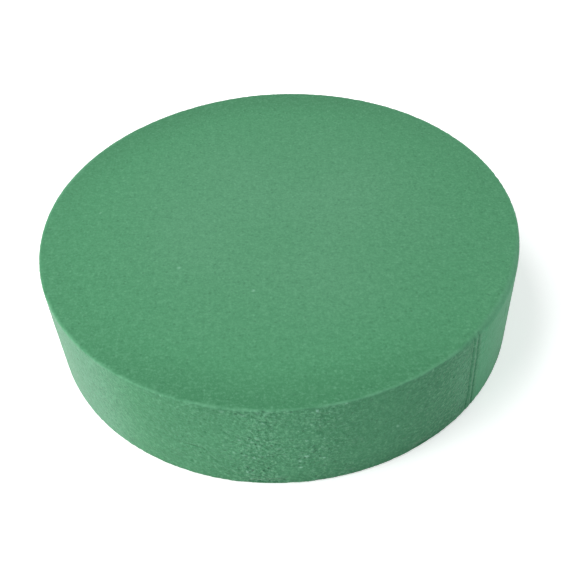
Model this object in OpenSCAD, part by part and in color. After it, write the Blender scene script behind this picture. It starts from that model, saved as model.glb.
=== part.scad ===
// Round disc of rigid floral foam: one solid piece, with a flat top, a flat base and a straight
// wall. A cutting seam of two shallow grooves runs down the wall, a little off upright.
// Millimetres, +Z up, with the origin in the middle of the base.

/* [Disc] */
// Diameter of the disc
disc_d = 200; // [120:5:320]
// Height from the base to the top face
disc_h = 45; // [25:1:80]
// Radius of the worn edge round the top face and the base
edge_r = 0.5; // [0.3:0.1:3]

/* [Cutting seam] */
// Direction of the seam's middle, in degrees from +X towards +Y
seam_at = -45; // [-180:1:180]
// Distance along the wall between the seam's two grooves
seam_gap = 3.2; // [2.2:0.1:8]
// Lean of the seam, in degrees from upright, with its foot towards the larger angle
seam_lean = 3; // [-5:0.5:5]
// Width of each groove where it meets the wall
groove_w = 1.2; // [1:0.1:2]
// Depth of each groove below the wall
groove_d = 0.4; // [0.2:0.1:0.5]

/* [Hidden] */

foam_green = [0.34, 0.60, 0.44];
disc_r = disc_d / 2;
// The cutter that leaves a groove of this width and depth, and its distance from the disc's axis
cutter_r = (pow(groove_w / 2, 2) + pow(groove_d, 2)) / (2 * groove_d);
cutter_at = disc_r - groove_d + cutter_r;
cutter_over = 1;
cutter_h = disc_h / cos(seam_lean) + 2 * cutter_over;
seam_half_angle = asin(seam_gap / 2 / disc_r);
round_fn = 180;
small_fn = 48;

// Half of the disc's section: a rectangle whose two outer corners are quarter rounds
module half_section() {
    square([disc_r - edge_r, disc_h]);
    translate([0, edge_r]) square([disc_r, disc_h - 2 * edge_r]);
    for (z = [edge_r, disc_h - edge_r])
        translate([disc_r - edge_r, z]) circle(r = edge_r, $fn = small_fn);
}

// One round-bottomed groove's cutter, in the wall at the angle a half-way up, leaning round the disc
module groove_cutter(a) {
    rotate([0, 0, a]) translate([cutter_at, 0, disc_h / 2]) rotate([seam_lean, 0, 0])
        cylinder(r = cutter_r, h = cutter_h, center = true, $fn = small_fn);
}

module foam_disc() {
    color(foam_green) difference() {
        rotate_extrude($fn = round_fn) half_section();
        for (side = [-1, 1]) groove_cutter(seam_at + side * seam_half_angle);
    }
}

foam_disc();
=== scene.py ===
"""A round disc of dry floral foam.

One closed mesh has real relief for the open-cell grain, torn patches, pits, worn rim and cutting seam, and a
node material has the colour, dust and finest grain, a painted highlight and sheen on the paler parts,
painted light on the rounded rim and painted shade in pores, pits, grooves and cuts."""

import itertools
import math

import bpy
import numpy as np
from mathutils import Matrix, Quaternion, Vector


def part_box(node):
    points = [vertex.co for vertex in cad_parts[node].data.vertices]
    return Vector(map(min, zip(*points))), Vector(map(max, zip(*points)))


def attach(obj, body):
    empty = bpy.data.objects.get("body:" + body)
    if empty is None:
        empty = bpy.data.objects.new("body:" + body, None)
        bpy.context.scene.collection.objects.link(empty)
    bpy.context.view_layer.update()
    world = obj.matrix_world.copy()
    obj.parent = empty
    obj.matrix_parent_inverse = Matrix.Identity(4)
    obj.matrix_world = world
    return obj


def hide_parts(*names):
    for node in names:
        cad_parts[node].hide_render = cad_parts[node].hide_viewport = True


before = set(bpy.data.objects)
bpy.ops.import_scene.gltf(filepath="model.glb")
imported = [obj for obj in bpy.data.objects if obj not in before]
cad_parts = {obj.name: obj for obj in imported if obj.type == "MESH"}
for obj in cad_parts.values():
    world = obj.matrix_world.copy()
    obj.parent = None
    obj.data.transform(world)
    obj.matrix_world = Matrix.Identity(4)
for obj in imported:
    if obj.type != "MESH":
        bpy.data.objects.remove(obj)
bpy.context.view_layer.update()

TAU = 2 * math.pi
MM = 0.001
NEAR_ZERO = 1e-9

# ---------------------------------------------------------------- sizes, in metres unless said
low, high = (Vector(corner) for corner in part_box("foam_disc"))
RADIUS = max(high.x - low.x, high.y - low.y) / 2
HEIGHT = high.z - low.z
EDGE_R = 0.5 * MM
CELL = 0.5 * MM  # the mesh's edge length
EDGE_STEPS = 3  # rows of faces in each worn edge

# The cutting seam, where the CAD wall has it: two grooves, their middle leaning off upright
SEAM_AT_DEGREES = 315
SEAM_AT = math.radians(SEAM_AT_DEGREES)
SEAM_LEAN = math.radians(3)
SEAM_GAP = 3.2 * MM
GROOVE_W = 1.2 * MM
GROOVE_D = 0.4 * MM

# Right of the seam the rim is worn round, up to this radius
BLUNT_R = 3.0 * MM
BLUNT_HALF_WIDTH = 32  # degrees

# Places round the disc, in degrees from +X towards +Y, so that the front is at 270
TORN_FRONT = 270
TORN_BACK = 100
WIDE_AT = 150
# the left wall, paler with dust and a painted sheen
DUST_AND_SHEEN_AT = 190
# a painted sheen on the left wall's edge
PAINTED_SHEEN_AT = 218
BLUNT_AT = 330
NICK_AT = 330
SCRATCH_FROM = 247
SCRATCH_TO = 254

# Soft patches round the disc: each one's middle and half width in degrees, and its strength
TORN_PATCHES = (
    (TORN_FRONT, 18, 1.0),
    (TORN_FRONT - 16, 17, 0.35),
    (TORN_FRONT + 18, 12, 0.2),
    (TORN_BACK, 26, 0.8),
    (TORN_BACK + 30, 26, 0.4),
)
LIGHTLY_TORN = ((PAINTED_SHEEN_AT + 10, 24, 0.2), (SEAM_AT_DEGREES - 8, 16, 0.5))
STREAKED = ((285, 25, 0.8), (320, 30, 0.5), (30, 60, 0.6), (200, 40, 0.4))
FOOT_DENTS = ((TORN_FRONT - 6, 7, 0.7), (TORN_FRONT + 30, 4, 0.6))
# Where the wall is paler with dust and a painted sheen, and where the two faces are deeper at their rims; a
# minus sign does the reverse
WALL_DUST_AND_SHEEN = (
    (DUST_AND_SHEEN_AT, 30, 0.9),
    (TORN_FRONT - 8, 45, 0.15),
    (TORN_BACK - 30, 60, 0.3),
    (246, 22, -0.65),
    (292, 31, -0.75),
)
# the minus at BLUNT_AT is painted light on the rounded rim, which faces away from the lamps
DEEP_RIM = ((TORN_BACK, 80, 0.65), (TORN_FRONT, 60, 0.80), (BLUNT_AT, 40, -0.40))

# Heights of the nick's and the scratch's two ends
NICK_LOW = 31 * MM
NICK_HIGH = 36 * MM
SCRATCH_LOW = 12 * MM
SCRATCH_HIGH = 19 * MM

# The largest bubble that the cut laid open, the largest pale crumb and the largest chip out of an edge
PIT_R = 0.8 * MM
CRUMB_R = 1.0 * MM
CHIP_R = 1.5 * MM

# Depths and heights of the relief, in millimetres
SWELL = 0.10
RIPPLE = 0.03
GRAIN = 0.05
CELL_WALL = 0.05
DEEP_CELL = 0.08
TORN_ROUGH = 0.26
TORN_CELL_WALL = 0.08
TORN_PROUD = 0.30
TORN_DEEP = 0.26
CRUMB_HEIGHT = 0.20
PIT_DEPTH = 0.7
STREAK = 0.05
RIDGE = 0.12
CUT_DEPTH = 0.35
EDGE_CRUMB = 0.10
EDGE_LOSS = 0.05
CHIP_DEPTH = 0.20
WIDE_BY = 0.6

# The UV square: the radius of the two faces' circles and how far their middles are from its corners, the
# margin beside the wall's strips, the tops of the upper and lower strips, and the step down to the next one
UV_CIRCLE = 0.27
UV_MIDDLE = 0.285
UV_MARGIN = 0.006
UV_UPPER_STRIP = 0.995
UV_LOWER_STRIP = 0.28
UV_STRIP_PITCH = 0.145

# The studio, with angles in degrees
BOX_AWAY = 1.2
BOX_SIZE = 0.8
SURROUND_LIGHT = 0.2  # the surround's strength in the light that falls on things
SURROUND_SEEN = 1.0  # and where the camera sees it
FLOOR_LIFT = 0.45  # how much brighter the floor is where the camera sees it
LENS_MM = 53
SENSOR_MM = 36
LOOK_DOWN = 45
CAMERA_AWAY = 3.905  # in radii of the disc, as are the next two
AIM_RIGHT = 0.0267
AIM_UP = 0.0340
CAMERA_ROLL = -3.29


# ---------------------------------------------------------------- repeatable noise, on arrays of points
GRADIENTS = np.array(
    [g for g in itertools.product((-1.0, 0.0, 1.0), repeat=3) if sum(map(abs, g)) == 2]
)
WORD = 2.0**32
TEN_BITS = 1024
KIND_SEED = 101  # added to a seed for a second number in the same cell


def hashed(cell, seed):
    """A well mixed 32-bit number for each row of whole numbers in cell."""
    c = cell.astype(np.int64).astype(np.uint32)
    h = c[:, 0] * np.uint32(374761393) + c[:, 1] * np.uint32(668265263)
    h = h + c[:, 2] * np.uint32(2246822519) + np.uint32(seed * 3266489 % 2**32)
    h = (h ^ (h >> np.uint32(15))) * np.uint32(2654435769)
    h = (h ^ (h >> np.uint32(13))) * np.uint32(1274126177)
    return h ^ (h >> np.uint32(16))


def noise(points, size, seed):
    """Gradient noise, about -1 to 1, whose features are about size across. size may be three numbers."""
    q = points / np.asarray(size)
    base = np.floor(q)
    f = q - base
    ease = f * f * f * (f * (f * 6 - 15) + 10)
    total = np.zeros(len(q))
    for corner in itertools.product((0, 1), repeat=3):
        step = np.array(corner)
        slope = GRADIENTS[hashed(base + step, seed) % len(GRADIENTS)]
        share = np.where(step, ease, 1 - ease).prod(axis=1)
        total += share * ((f - step) * slope).sum(axis=1)
    return total


def spot_in_cell(place):
    """A point in the unit cube for each 32-bit number, from three runs of ten of its bits."""
    return np.stack([(place >> np.uint32(s)) % TEN_BITS for s in (0, 10, 20)], axis=1) / TEN_BITS


def bubbles(points, spacing, seed, share, smallest, largest):
    """Round bowls, one at most to each cube of spacing, in a share of the cubes.

    Returns each point's depth into its bowl, 0 at the brim to 1 in the middle, and the bowl's radius."""
    q = points / spacing
    base = np.floor(q)
    depth, radius = np.zeros(len(q)), np.full(len(q), smallest)
    for step in itertools.product((-1, 0, 1), repeat=3):
        cell = base + np.array(step)
        place = hashed(cell, seed)
        kind = hashed(cell, seed + KIND_SEED)
        spot = spot_in_cell(place)
        size = smallest + (largest - smallest) * ((kind >> np.uint32(16)) / 2.0**16) ** 2
        size = np.where(kind % TEN_BITS < share * TEN_BITS, size, NEAR_ZERO)
        away = np.linalg.norm(cell + spot - q, axis=1) * spacing
        bowl = np.clip(1 - (away / size) ** 2, 0, None)
        deeper = bowl > depth
        depth, radius = np.where(deeper, bowl, depth), np.where(deeper, size, radius)
    return depth, radius


def foam_cells(points, size, seed):
    """Cells that fill space, about size across, each round its own random point.

    Returns 0 in the middle of a cell to 1 on the walls between cells, and each cell's own number, 0 to 1."""
    wall = 0.6  # the walls' share of a cell
    q = points / size
    base = np.floor(q)
    near, next_near, kind = np.full(len(q), np.inf), np.full(len(q), np.inf), np.zeros(len(q))
    for step in itertools.product((-1, 0, 1), repeat=3):
        cell = base + np.array(step)
        place = hashed(cell, seed)
        spot = spot_in_cell(place)
        away = np.linalg.norm(cell + spot - q, axis=1)
        next_near = np.minimum(next_near, np.maximum(near, away))
        kind = np.where(away < near, hashed(cell, seed + KIND_SEED) / WORD, kind)
        near = np.minimum(near, away)
    return np.clip(1 - (next_near - near) / wall, 0, 1), kind


def warped(points, size, reach, seed):
    """The points, each moved by up to about reach, so that shapes made from them come out uneven."""
    push = [noise(points, size, seed + k) for k in range(3)]
    return points + reach * np.stack(push, axis=1)


def ramp(x, start, end):
    """A smooth step from 0 at start to 1 at end."""
    t = np.clip((x - start) / (end - start), 0, 1)
    return t * t * (3 - 2 * t)


# ---------------------------------------------------------------- the disc's mesh
def column_angles(count):
    """The angle of each column of the wall, with the columns crowded near the cutting seam."""
    samples, extra, reach = 4096, 1.2, 6 * MM
    even = np.linspace(0, TAU, samples)
    off_seam = (even - SEAM_AT + math.pi) % TAU - math.pi
    density = 1 + extra * np.exp(-((off_seam * RADIUS / reach) ** 2))
    run = np.concatenate([[0], np.cumsum((density[1:] + density[:-1]) / 2)])
    return np.interp(np.arange(count) / count, run / run[-1], even)


def profile():
    """The wall's section, from the top face's border to the base's: radius, height and normal's slope."""
    bend = np.linspace(math.pi / 2, 0, EDGE_STEPS + 1)
    rows = max(8, round((HEIGHT - 2 * EDGE_R) / CELL))
    wall_z = np.linspace(HEIGHT - EDGE_R, EDGE_R, rows + 1)[1:-1]
    rise = np.concatenate([bend, np.zeros(len(wall_z)), -bend[::-1]])
    r = RADIUS - EDGE_R + EDGE_R * np.cos(rise)
    z = np.concatenate([np.full(len(bend), HEIGHT - EDGE_R), wall_z, np.full(len(bend), EDGE_R)])
    return r, z + EDGE_R * np.sin(rise), rise


def face_grid(n, angles, border_r):
    """x and y of an (n + 1) by (n + 1) grid that is square in the middle and round at its border."""
    u, v = np.meshgrid(np.linspace(-1, 1, n + 1), np.linspace(-1, 1, n + 1))
    reach = np.maximum(abs(u), abs(v))
    safe = np.maximum(reach, NEAR_ZERO)
    a, b = u / safe, v / safe
    # the place along the border, in sides from the corner (-1, -1), anticlockwise
    along = np.select(
        [b <= -1 + NEAR_ZERO, a >= 1 - NEAR_ZERO, b >= 1 - NEAR_ZERO],
        [(a + 1) / 2, 1 + (b + 1) / 2, 2 + (1 - a) / 2],
        3 + (1 - b) / 2,
    )
    turns = np.concatenate([angles, [angles[0] + TAU]])
    angle = np.interp(along % 4, np.arange(4 * n + 1) / n, turns)
    # the grid's corner (-1, -1) is turned to the first column's angle
    turn = angles[0] - math.radians(225)
    square = 0.80  # the middle's half width, in border radii
    core_x = square * (u * math.cos(turn) - v * math.sin(turn))
    core_y = square * (u * math.sin(turn) + v * math.cos(turn))
    roundness = reach**1.5
    x = core_x * (1 - roundness) + reach * np.cos(angle) * roundness
    y = core_y * (1 - roundness) + reach * np.sin(angle) * roundness
    return (x * border_r).ravel(), (y * border_r).ravel()


def border_of(n):
    """The grid's border vertices, anticlockwise from the corner (-1, -1)."""
    side = np.arange(n)
    row = n + 1
    return np.concatenate([side, side * row + n, n * row + n - side, (n - side) * row])


def grid_quads(n):
    """The quads of an (n + 1) by (n + 1) grid, anticlockwise."""
    corner = (np.arange(n)[:, None] * (n + 1) + np.arange(n)[None]).ravel()
    return np.stack([corner, corner + 1, corner + n + 2, corner + n + 1], axis=1)


def disc_shape():
    """The plain disc's vertices, normals, quads and each quad's UVs, with the quads facing out."""
    n = round(TAU * RADIUS / CELL / 4)
    angles = column_angles(4 * n)
    r, z, rise = profile()
    x, y = face_grid(n, angles, r[0])
    count, columns = len(x), 4 * n
    flat = np.zeros(count)
    ring_r, ring_z, ring_rise = (np.repeat(a[1:-1], columns) for a in (r, z, rise))
    turn = np.tile(angles, len(r) - 2)
    points = np.concatenate(
        [
            np.stack([x, y, flat + HEIGHT], axis=1),
            np.stack([ring_r * np.cos(turn), ring_r * np.sin(turn), ring_z], axis=1),
            np.stack([x, y, flat], axis=1),
        ]
    )
    lean = np.cos(ring_rise)
    normals = np.concatenate(
        [
            np.stack([flat, flat, flat + 1], axis=1),
            np.stack([lean * np.cos(turn), lean * np.sin(turn), np.sin(ring_rise)], axis=1),
            np.stack([flat, flat, flat - 1], axis=1),
        ]
    )
    # rings[k] holds the vertices of profile row k
    below = len(points) - count
    rings = np.arange(count, below).reshape(len(r) - 2, columns)
    rings = np.concatenate([[border_of(n)], rings, [border_of(n) + below]])
    after = np.roll(rings, -1, axis=1)
    bands = np.stack([rings[:-1], rings[1:], after[1:], after[:-1]], axis=2).reshape(-1, 4)
    top, base = grid_quads(n), grid_quads(n)[:, ::-1] + below
    return points, normals, np.concatenate([top, bands, base]), disc_uvs(points, top, base, r, z, n)


def disc_uvs(points, top, base, r, z, n):
    """UVs without stretch: the two faces as circles, and the wall as four strips in the free corners."""
    scale = UV_CIRCLE / RADIUS
    uv_top = points[top][..., :2] * scale + UV_MIDDLE
    uv_base = points[base][..., :2] * [-scale, scale] + (1 - UV_MIDDLE)
    run = np.concatenate([[0], np.cumsum(np.hypot(np.diff(r), np.diff(z)))]) * scale
    column = np.arange(4 * n)
    quarter, local = column // n, column % n
    width = TAU * RADIUS / 4 * scale
    upper = quarter < 2
    strip_x = np.where(upper, UV_MARGIN, 1 - UV_MARGIN - width)
    strip_y = np.where(upper, UV_UPPER_STRIP, UV_LOWER_STRIP) - (quarter % 2) * UV_STRIP_PITCH
    left, right = strip_x + local / n * width, strip_x + (local + 1) / n * width
    bands = np.empty((len(r) - 1, 4 * n, 4, 2))
    bands[:, :, :2, 0], bands[:, :, 2:, 0] = left[None, :, None], right[None, :, None]
    bands[:, :, 0, 1] = bands[:, :, 3, 1] = strip_y[None] - run[:-1, None]
    bands[:, :, 1, 1] = bands[:, :, 2, 1] = strip_y[None] - run[1:, None]
    return np.concatenate([uv_top, bands.reshape(-1, 4, 2), uv_base])


# ---------------------------------------------------------------- the relief
class Surface:
    """Where each vertex is: on the top, wall or base, how far round, how high and how near an edge."""

    def __init__(self, points, normals):
        """From the vertices' places and normals, one row for each."""
        self.points, self.normals = points, normals
        self.x, self.y, self.z = points.T
        self.r = np.hypot(self.x, self.y)
        self.angle = np.degrees(np.arctan2(self.y, self.x)) % 360
        self.top = ramp(normals[:, 2], 0.3, 0.9)
        self.base = ramp(-normals[:, 2], 0.3, 0.9)
        self.wall = 1 - ramp(abs(normals[:, 2]), 0.1, 0.8)
        self.from_rim = np.hypot(RADIUS - self.r, HEIGHT - self.z)
        self.from_foot = np.hypot(RADIUS - self.r, self.z)

    def around(self, middle, half_width):
        """1 at that angle in degrees, fading to 0 at half_width to each side."""
        off = abs((self.angle - middle + 180) % 360 - 180)
        return 1 - ramp(off, 0.25 * half_width, half_width)

    def patches(self, places):
        """The sum of soft patches, each given by its middle, half width and strength."""
        return sum(strength * self.around(middle, half) for middle, half, strength in places)


def blunted(s):
    """The surface with its rim rounded over where handling has worn it."""
    radius = BLUNT_R * s.around(BLUNT_AT, BLUNT_HALF_WIDTH)
    out, up = s.r - (RADIUS - radius), s.z - (HEIGHT - radius)
    reach = np.hypot(out, up)
    worn = (out > 0) & (up > 0) & (reach > radius)
    pull = np.where(worn, radius / np.maximum(reach, NEAR_ZERO), 1)
    new_r, new_z = RADIUS - radius + out * pull, HEIGHT - radius + up * pull
    safe_r = np.maximum(s.r, NEAR_ZERO)
    scale = new_r / safe_r
    points = np.where(worn[:, None], np.stack([s.x * scale, s.y * scale, new_z], axis=1), s.points)
    lean = np.stack([s.x / safe_r * out, s.y / safe_r * out, up], axis=1)
    normals = np.where(worn[:, None], lean / np.maximum(reach, NEAR_ZERO)[:, None], s.normals)
    return Surface(points, normals)


def from_seam(s):
    """The distance round the wall from the seam's middle line, towards the larger angle, in metres."""
    round_wall = ((np.radians(s.angle) - SEAM_AT + math.pi) % TAU - math.pi) * RADIUS
    return round_wall + (s.z - HEIGHT / 2) * math.tan(SEAM_LEAN)


def torn_zone(s):
    """How much of the wall's foam was torn and not cut cleanly: two patches opposite each other, and two
    faint ones at the front."""
    patchy = 0.85 + 0.7 * noise(s.points, 13 * MM, 11)
    torn = s.patches(TORN_PATCHES) * patchy + s.patches(LIGHTLY_TORN)
    return s.wall * np.clip(torn, 0, 1.1)


def seam_grooves(s):
    """The depth, from 0 to 1, of the seam's two grooves, which wander a little and part at the foot."""
    parting = 0.9 * MM * (1 - ramp(s.z, 2 * MM, 14 * MM))
    depth = np.zeros(len(s.z))
    for side in (-1, 1):
        middle = side * SEAM_GAP / 2 + min(side, 0) * parting
        wander = 0.25 * MM * noise(s.points, 9 * MM, 21 + side)
        off = abs(from_seam(s) - middle + wander) / (GROOVE_W / 2)
        faint = np.clip(0.85 + 0.5 * noise(s.points, 7 * MM, 25 + side), 0.4, 1)
        depth = np.maximum(depth, faint * np.clip(1 - off**2, 0, 1))
    return depth * (1 - s.top) * (1 - s.base)


def scratch(s):
    """A short scratch that slopes down the wall, left of the torn patch."""
    half_width = 0.6 * MM
    run = (s.angle - SCRATCH_FROM) / (SCRATCH_TO - SCRATCH_FROM)
    drop = (SCRATCH_HIGH - SCRATCH_LOW) * ramp(run, 0.5, 1.0)
    line = SCRATCH_HIGH - drop + 0.3 * MM * noise(s.points, 3 * MM, 31)
    ends = ramp(run, -0.1, 0.1) * (1 - ramp(run, 0.9, 1.1))
    broken = np.clip(0.75 + 0.8 * noise(s.points, 2 * MM, 32), 0, 1)
    return s.wall * ends * broken * np.clip(1 - abs(s.z - line) / half_width, 0, 1)


def nick(s):
    """A short upright nick in the wall, right of the seam."""
    half_width = 0.6 * MM
    off = np.radians(s.angle - NICK_AT) * RADIUS
    foot = ramp(s.z, NICK_LOW - 1 * MM, NICK_LOW + 1 * MM)
    head = 1 - ramp(s.z, NICK_HIGH - 1 * MM, NICK_HIGH + 1 * MM)
    return s.wall * foot * head * np.clip(1 - abs(off) / half_width, 0, 1)


def streaks(s):
    """Faint lines that the cutter dragged round the wall, nearly level."""
    unrolled = np.stack([np.radians(s.angle) * RADIUS, s.z, s.r], axis=1)
    line = noise(unrolled, (16 * MM, 1.3 * MM, 1), 8)
    return s.wall * s.patches(STREAKED) * line


def open_bubbles(s):
    """From 0 to 1: bubbles that the cut laid open, few and small, with more round the torn patch."""
    few, few_r = bubbles(s.points, 7 * MM, 7, 0.30, 0.25 * MM, PIT_R)
    more, more_r = bubbles(s.points, 4 * MM, 14, 0.25, 0.35 * MM, PIT_R)
    near_patch = s.wall * s.around(TORN_FRONT - 8, 30)
    return np.maximum((0.4 + 0.3 * s.wall) * few * few_r, near_patch * more * more_r) / PIT_R


def pale_crumbs(s):
    """From 0 to 1: crumbs of pale cell wall, thick on the torn patch and rare elsewhere."""
    thick = bubbles(s.points, 4 * MM, 15, 0.40, 0.5 * MM, CRUMB_R)[0]
    rare = bubbles(s.points, 10 * MM, 16, 0.15, 0.5 * MM, CRUMB_R)[0]
    on_patch = s.wall * s.around(TORN_FRONT, 20)
    return np.maximum(on_patch * ramp(thick, 0, 0.35), 0.6 * ramp(rare, 0, 0.5))


def cut_error(s):
    """How far the wall is off the true circle, in metres: dented at the foot, wide at the back left."""
    low_down = 1 - ramp(s.z, 0.5 * MM, 5 * MM)
    return s.wall * MM * (WIDE_BY * s.around(WIDE_AT, 35) - low_down * s.patches(FOOT_DENTS))


def tone(s):
    """How the green drifts over the disc: towards 1 where it is paler with dust and a painted highlight and
    sheen, towards -1 where it is deep.
    """
    share = s.r / RADIUS
    # the faces' middles are paler: dust with a painted highlight
    dust_and_highlight = (1 - ramp(share, 0.20, 0.92)) * (0.95 + 0.5 * noise(s.points, 36 * MM, 41))
    ring = ramp(share, 0.76, 1.0) * (0.25 + s.patches(DEEP_RIM))
    low_down = 1 - ramp(s.z, 0, 14 * MM)
    wall = s.patches(WALL_DUST_AND_SHEEN) - 0.35 * low_down + 0.35 * noise(s.points, 20 * MM, 42)
    return (1 - s.wall) * (dust_and_highlight - ring) + s.wall * wall


def relief(s):
    """The height of the surface above the plain disc, in metres, and the masks that colour it."""
    p, torn = s.points, torn_zone(s)
    along = from_seam(s)
    # right of the seam the wall was pressed smooth, less and less with distance
    uneven = along + 12 * MM * noise(p, 20 * MM, 55)
    pressed = s.wall * ramp(along, 1.5 * MM, 5 * MM) * (1 - ramp(uneven, 10 * MM, 90 * MM))
    even = 1 - 0.3 * pressed
    height = MM * (SWELL * noise(p, 45 * MM, 1) + RIPPLE * noise(p, 6 * MM, 52))
    # fine grain everywhere: shallow open cells, with a few that are deep
    cells, kind = foam_cells(warped(p, 3 * MM, 0.4 * MM, 51), 1.5 * MM, 2)
    hollow = ramp(kind, 0.85, 0.98) * (1 - cells)
    grain = GRAIN * noise(p, 1.3 * MM, 3) + GRAIN * noise(p, 2.6 * MM, 53)
    height += even * MM * (grain + CELL_WALL * (cells - 0.5) - DEEP_CELL * hollow)
    # the torn patches: coarse open cells, some deep and some standing proud
    coarse, coarse_kind = foam_cells(warped(p, 2.0 * MM, 0.8 * MM, 61), 1.25 * MM, 4)
    proud = ramp(coarse_kind, 0.22, 0.06) * (1 - coarse)
    deep = ramp(coarse_kind, 0.45, 1.0) * (1 - coarse)
    rough = TORN_ROUGH * noise(p, 0.9 * MM, 5) + TORN_CELL_WALL * (coarse - 0.5)
    height += torn * MM * (rough + TORN_PROUD * proud - TORN_DEEP * deep)
    pits, crumbs = open_bubbles(s), pale_crumbs(s)
    height += MM * (CRUMB_HEIGHT * crumbs - PIT_DEPTH * pits)
    height += STREAK * MM * streaks(s)
    grooves, cuts = seam_grooves(s), np.maximum(scratch(s), nick(s))
    ridge = s.wall * (1 - ramp(abs(along), 0.2 * MM, 0.8 * MM))
    height += MM * RIDGE * ridge - GROOVE_D * grooves - CUT_DEPTH * MM * cuts
    # the rim and the foot are worn and crumbled
    worn_width = 1.4 * MM
    at_edge = np.maximum(1 - ramp(s.from_rim, 0, worn_width), 1 - ramp(s.from_foot, 0, worn_width))
    crumb = noise(p, 2.2 * MM, 9) + 0.7 * noise(p, 1.0 * MM, 10)
    chips, chips_r = bubbles(p, 9 * MM, 12, 0.5, 0.6 * MM, CHIP_R)
    height += at_edge * MM * (EDGE_CRUMB * crumb - EDGE_LOSS - CHIP_DEPTH * chips * chips_r / CHIP_R)
    height += cut_error(s)
    level = tone(s)
    beside = s.wall * (1 - ramp(abs(along + 7 * MM), 0, 8 * MM))
    # painted light on the rounded rim, which faces away from the lamps and would be darker
    rise = s.normals[:, 2]
    painted_rounding_light = s.around(BLUNT_AT, BLUNT_HALF_WIDTH) * ramp(rise, 0.05, 0.3) * (1 - ramp(rise, 0.92, 1.0))
    worn = np.clip(0.8 + 0.8 * noise(p, 7 * MM, 54) + 0.6 * crumb, 0.1, 1.3)
    wear = (1 - ramp(s.from_rim, 0.3 * MM, 0.9 * MM)) * worn
    masks = {
        # dust with a painted highlight on the faces and a painted sheen on the left wall
        "foam_dust_and_sheen": np.clip(level, 0, 1),
        "foam_deep": np.clip(-level, 0, 1),
        "foam_torn": np.clip(torn, 0, 1),
        "foam_pressed": pressed,
        # a painted sheen on the left wall
        "foam_painted_sheen": s.wall * s.around(PAINTED_SHEEN_AT, 20),
        # painted shade in deep torn cells, open bubbles, the grooves and the cuts
        "foam_pit_shade": np.clip(0.25 * torn * deep + 0.9 * pits + 0.25 * grooves + 0.7 * cuts, 0, 1),
        "foam_speck": np.clip(0.55 * torn * proud + crumbs, 0, 1),
        # pale wear on the rim and seam, and painted light on the rounded rim
        "foam_wear_and_painted_light": np.clip(wear + 0.8 * ridge + 0.3 * beside + 0.7 * painted_rounding_light, 0, 1),
    }
    return height, masks


def foam_disc():
    """The visible disc, as one closed mesh."""
    points, normals, quads, uvs = disc_shape()
    s = blunted(Surface(points, normals))
    height, masks = relief(s)
    points = s.points + s.normals * height[:, None]
    points[:, 2] = np.clip(points[:, 2], 0, HEIGHT)
    mesh = bpy.data.meshes.new("foam_body")
    mesh.vertices.add(len(points))
    mesh.vertices.foreach_set("co", points.astype(np.float32).ravel())
    mesh.loops.add(quads.size)
    mesh.loops.foreach_set("vertex_index", quads.astype(np.int32).ravel())
    mesh.polygons.add(len(quads))
    mesh.polygons.foreach_set("loop_start", np.arange(0, quads.size, 4, dtype=np.int32))
    mesh.polygons.foreach_set("use_smooth", np.ones(len(quads), dtype=bool))
    mesh.update(calc_edges=True)
    mesh.uv_layers.new(name="OFBake").data.foreach_set("uv", uvs.astype(np.float32).ravel())
    for name, values in masks.items():
        layer = mesh.attributes.new(name, "FLOAT", "POINT")
        layer.data.foreach_set("value", values.astype(np.float32))
    mesh.validate()
    piece = bpy.data.objects.new("foam_body", mesh)
    bpy.context.collection.objects.link(piece)
    return piece


# ---------------------------------------------------------------- materials
class Nodes:
    """Short calls for building a node tree."""

    def __init__(self, name):
        """A new material of that name, with its Principled shader."""
        self.material = bpy.data.materials.new(name)
        self.material.use_nodes = True
        self.tree = self.material.node_tree
        self.shader = self.tree.nodes["Principled BSDF"]

    def add(self, kind, **settings):
        """A new node of that kind."""
        node = self.tree.nodes.new(kind)
        for key, value in settings.items():
            setattr(node, key, value)
        return node

    def link(self, output, target):
        """Joins an output to another node's input."""
        self.tree.links.new(output, target)

    def noise(self, coordinate, size, detail=2.0, roughness=0.5):
        """Noise whose features are about size metres across, from 0 to 1."""
        node = self.add("ShaderNodeTexNoise")
        node.inputs["Scale"].default_value = 1 / size
        node.inputs["Detail"].default_value = detail
        node.inputs["Roughness"].default_value = roughness
        self.link(coordinate, node.inputs["Vector"])
        return node.outputs["Fac"]

    def cell_spots(self, coordinate, size, share, reach):
        """1 in the middle of a share of random cells of that size, fading out at reach of a cell."""
        node = self.add("ShaderNodeTexVoronoi")
        node.inputs["Scale"].default_value = 1 / size
        self.link(coordinate, node.inputs["Vector"])
        parts = self.add("ShaderNodeSeparateColor")
        self.link(node.outputs["Color"], parts.inputs["Color"])
        chosen = self.spread(parts.outputs["Red"], share + 0.05, share)
        return self.times(chosen, self.spread(node.outputs["Distance"], reach, 0.3 * reach))

    def attribute(self, name):
        """One of the mesh's masks."""
        return self.add("ShaderNodeAttribute", attribute_name=name).outputs["Fac"]

    def spread(self, value, low_in, high_in, low_out=0.0, high_out=1.0):
        """The value, taken from one range to another and held within it."""
        node = self.add("ShaderNodeMapRange")
        for key, number in (
            ("From Min", low_in),
            ("From Max", high_in),
            ("To Min", low_out),
            ("To Max", high_out),
        ):
            node.inputs[key].default_value = number
        self.link(value, node.inputs["Value"])
        return node.outputs["Result"]

    def mix(self, share, a, b):
        """Colour a, going to b as share goes to 1. Either may be a colour or an output."""
        node = self.add("ShaderNodeMix", data_type="RGBA")
        for socket, value in ((0, share), (6, a), (7, b)):
            if isinstance(value, bpy.types.NodeSocket):
                self.link(value, node.inputs[socket])
            else:
                node.inputs[socket].default_value = value
        return node.outputs[2]

    def times(self, a, b):
        """One value times another. Either may be a number or an output."""
        node = self.add("ShaderNodeMath", operation="MULTIPLY")
        for socket, value in ((0, a), (1, b)):
            if isinstance(value, bpy.types.NodeSocket):
                self.link(value, node.inputs[socket])
            else:
                node.inputs[socket].default_value = value
        return node.outputs[0]


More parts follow.
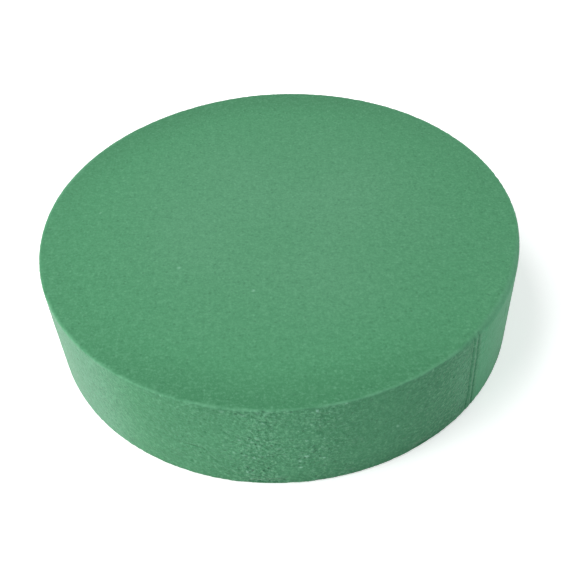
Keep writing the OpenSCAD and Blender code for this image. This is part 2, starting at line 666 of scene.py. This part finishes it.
FOAM_GREEN = (0.073, 0.284, 0.135, 1)
# paler green: dust with a painted highlight and sheen
FOAM_DUST_AND_SHEEN = (0.096, 0.303, 0.160, 1)
FOAM_DEEP = (0.056, 0.235, 0.108, 1)
FOAM_SHADE = (0.042, 0.185, 0.088, 1)
FOAM_PALE = (0.170, 0.440, 0.260, 1)
FOAM_CRUMB = (0.270, 0.540, 0.390, 1)
# painted shade in pores, pits, grooves and cuts
FOAM_PORE_SHADE = (0.016, 0.085, 0.042, 1)
FOAM_PRESSED = (0.081, 0.375, 0.176, 1)
# a painted sheen
FOAM_PAINTED_SHEEN = (0.150, 0.340, 0.225, 1)


def foam_material():
    """Dry floral foam: matt, green with dust and a painted highlight and sheen, grained at a millimetre,
    with painted shade in pores, pale on worn edges and with painted light on the rounded rim.
    """
    n = Nodes("floral_foam")
    place = n.add("ShaderNodeTexCoord").outputs["Object"]
    torn, pressed = n.attribute("foam_torn"), n.attribute("foam_pressed")
    # paler with dust and a painted highlight and sheen
    colour = n.mix(n.attribute("foam_dust_and_sheen"), FOAM_GREEN, FOAM_DUST_AND_SHEEN)
    colour = n.mix(n.attribute("foam_deep"), colour, FOAM_DEEP)
    # a painted sheen on the left wall
    colour = n.mix(n.times(n.attribute("foam_painted_sheen"), 0.5), colour, FOAM_PAINTED_SHEEN)
    colour = n.mix(n.times(pressed, 0.8), colour, FOAM_PRESSED)
    # the grain that the eye sees as felt, stronger where the foam is torn and weaker where it is pressed
    strength = n.times(n.spread(torn, 0, 1, 1.0, 2.9), n.spread(pressed, 0, 1, 1.0, 0.7))
    patches = n.noise(place, 3.0 * MM, detail=1)
    grain = n.noise(place, 1.1 * MM, detail=2, roughness=0.70)
    colour = n.mix(n.spread(patches, 0.50, 0.20, 0, 0.20), colour, FOAM_SHADE)
    colour = n.mix(n.spread(patches, 0.50, 0.80, 0, 0.15), colour, FOAM_PALE)
    colour = n.mix(n.times(n.spread(grain, 0.50, 0.25, 0, 0.45), strength), colour, FOAM_SHADE)
    colour = n.mix(n.times(n.spread(grain, 0.50, 0.75, 0, 0.36), strength), colour, FOAM_PALE)
    # single open pores, darkened with painted shade, and bright cut cell walls
    pore_shade = n.times(n.cell_spots(place, 1.9 * MM, 0.25, 0.38), strength)
    fleck = n.times(n.cell_spots(place, 2.3 * MM, 0.35, 0.30), strength)
    colour = n.mix(n.times(pore_shade, 0.26), colour, FOAM_PORE_SHADE)
    colour = n.mix(n.times(fleck, 0.30), colour, FOAM_PALE)
    colour = n.mix(n.times(n.attribute("foam_speck"), 0.8), colour, FOAM_CRUMB)
    # pale wear on the rim and seam, and painted light on the rounded rim
    colour = n.mix(n.times(n.attribute("foam_wear_and_painted_light"), 0.45), colour, FOAM_PALE)
    # painted shade in pits, grooves and cuts
    colour = n.mix(n.times(n.attribute("foam_pit_shade"), 0.8), colour, FOAM_PORE_SHADE)
    n.link(colour, n.shader.inputs["Base Color"])
    n.link(n.spread(grain, 0.3, 0.7, 0.86, 0.98), n.shader.inputs["Roughness"])
    fine = n.add("ShaderNodeBump")
    fine.inputs["Strength"].default_value = 0.6
    fine.inputs["Distance"].default_value = 0.25 * MM
    n.link(n.times(n.noise(place, 0.8 * MM, detail=2, roughness=0.6), strength), fine.inputs["Height"])
    n.link(fine.outputs["Normal"], n.shader.inputs["Normal"])
    n.shader.inputs["Specular IOR Level"].default_value = 0.35
    n.shader.inputs["Sheen Weight"].default_value = 0.3
    n.shader.inputs["Sheen Roughness"].default_value = 0.3
    return n.material


def for_camera(tree, unseen, seen):
    """A strength that is seen where the camera looks, and unseen in the light that falls on things."""
    strength = tree.nodes.new("ShaderNodeMapRange")
    strength.inputs["To Min"].default_value = unseen
    strength.inputs["To Max"].default_value = seen
    ray = tree.nodes.new("ShaderNodeLightPath").outputs["Is Camera Ray"]
    tree.links.new(ray, strength.inputs["Value"])
    return strength.outputs["Result"]


def floor_material():
    """A pale floor, lifted where the camera sees it, so that the disc's shadow on it is faint."""
    n = Nodes("studio_floor")
    n.shader.inputs["Base Color"].default_value = (0.96, 0.96, 0.96, 1)
    n.shader.inputs["Roughness"].default_value = 0.9
    n.shader.inputs["Specular IOR Level"].default_value = 0.1
    n.shader.inputs["Emission Color"].default_value = (1, 1, 1, 1)
    n.link(for_camera(n.tree, 0, FLOOR_LIFT), n.shader.inputs["Emission Strength"])
    return n.material


# ---------------------------------------------------------------- the studio
def floor():
    """A round plain floor at the height of the disc's base, reaching almost to the softboxes."""
    reach, sides = 9 * RADIUS, 96
    turns = [TAU * k / sides for k in range(sides)]
    corners = [(reach * math.cos(t), reach * math.sin(t), low.z) for t in turns]
    mesh = bpy.data.meshes.new("floor")
    mesh.from_pydata(corners, [], [tuple(range(sides))])
    mesh.materials.append(floor_material())
    ground = bpy.data.objects.new("floor", mesh)
    bpy.context.collection.objects.link(ground)
    return ground


def toward(azimuth, elevation):
    """The unit vector at that azimuth, in degrees from -Y towards +X, and elevation."""
    a, e = math.radians(azimuth), math.radians(elevation)
    return Vector((math.sin(a) * math.cos(e), -math.cos(a) * math.cos(e), math.sin(e)))


def softbox(name, azimuth, elevation, power):
    """A square area light that faces the disc."""
    data = bpy.data.lights.new(name, "AREA")
    data.size, data.energy = BOX_SIZE, power
    lamp = bpy.data.objects.new(name, data)
    way = toward(azimuth, elevation)
    lamp.location = way * BOX_AWAY
    lamp.rotation_mode = "QUATERNION"
    lamp.rotation_quaternion = (-way).to_track_quat("-Z", "Y")
    bpy.context.collection.objects.link(lamp)
    return lamp


COOL_WHITE = (0.88, 1.0, 1.12)


def surround():
    """A surround that lights the disc dimly, and that looks white where the camera sees it."""
    world = bpy.data.worlds.new("studio")
    bpy.context.scene.world = world
    world.use_nodes = True
    tree = world.node_tree
    background = tree.nodes["Background"]
    background.inputs["Color"].default_value = (1, 1, 1, 1)
    strength = for_camera(tree, SURROUND_LIGHT, SURROUND_SEEN)
    tree.links.new(strength, background.inputs["Strength"])


def studio_light():
    """Four softboxes, the stronger two on the left."""
    softbox("key_low", -60, 15, 8.8)
    softbox("key_high", -90, 60, 10.6)
    softbox("back_right", 120, 30, 3.6)
    softbox("fill_right", 60, 12, 3.5).data.color = COOL_WHITE


def camera():
    """The camera, looking down from the front."""
    data = bpy.data.cameras.new("camera")
    data.lens, data.sensor_width = LENS_MM, SENSOR_MM
    eye = bpy.data.objects.new("camera", data)
    way = toward(0, LOOK_DOWN)
    eye.location = way * CAMERA_AWAY * RADIUS
    level = way.cross(Vector((0, 0, 1))).normalized() * -1
    upward = level.cross(-way).normalized()
    aim = (AIM_RIGHT * level + AIM_UP * upward) * RADIUS
    eye.rotation_mode = "QUATERNION"
    roll = Quaternion((0, 0, 1), math.radians(CAMERA_ROLL))
    eye.rotation_quaternion = (aim - eye.location).to_track_quat("-Z", "Y") @ roll
    bpy.context.collection.objects.link(eye)
    bpy.context.scene.camera = eye


camera()
surround()
studio_light()
floor()
bpy.context.scene.view_settings.view_transform = "Standard"

foam = foam_disc()
foam.data.materials.append(foam_material())
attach(foam, "root")
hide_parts("foam_disc")
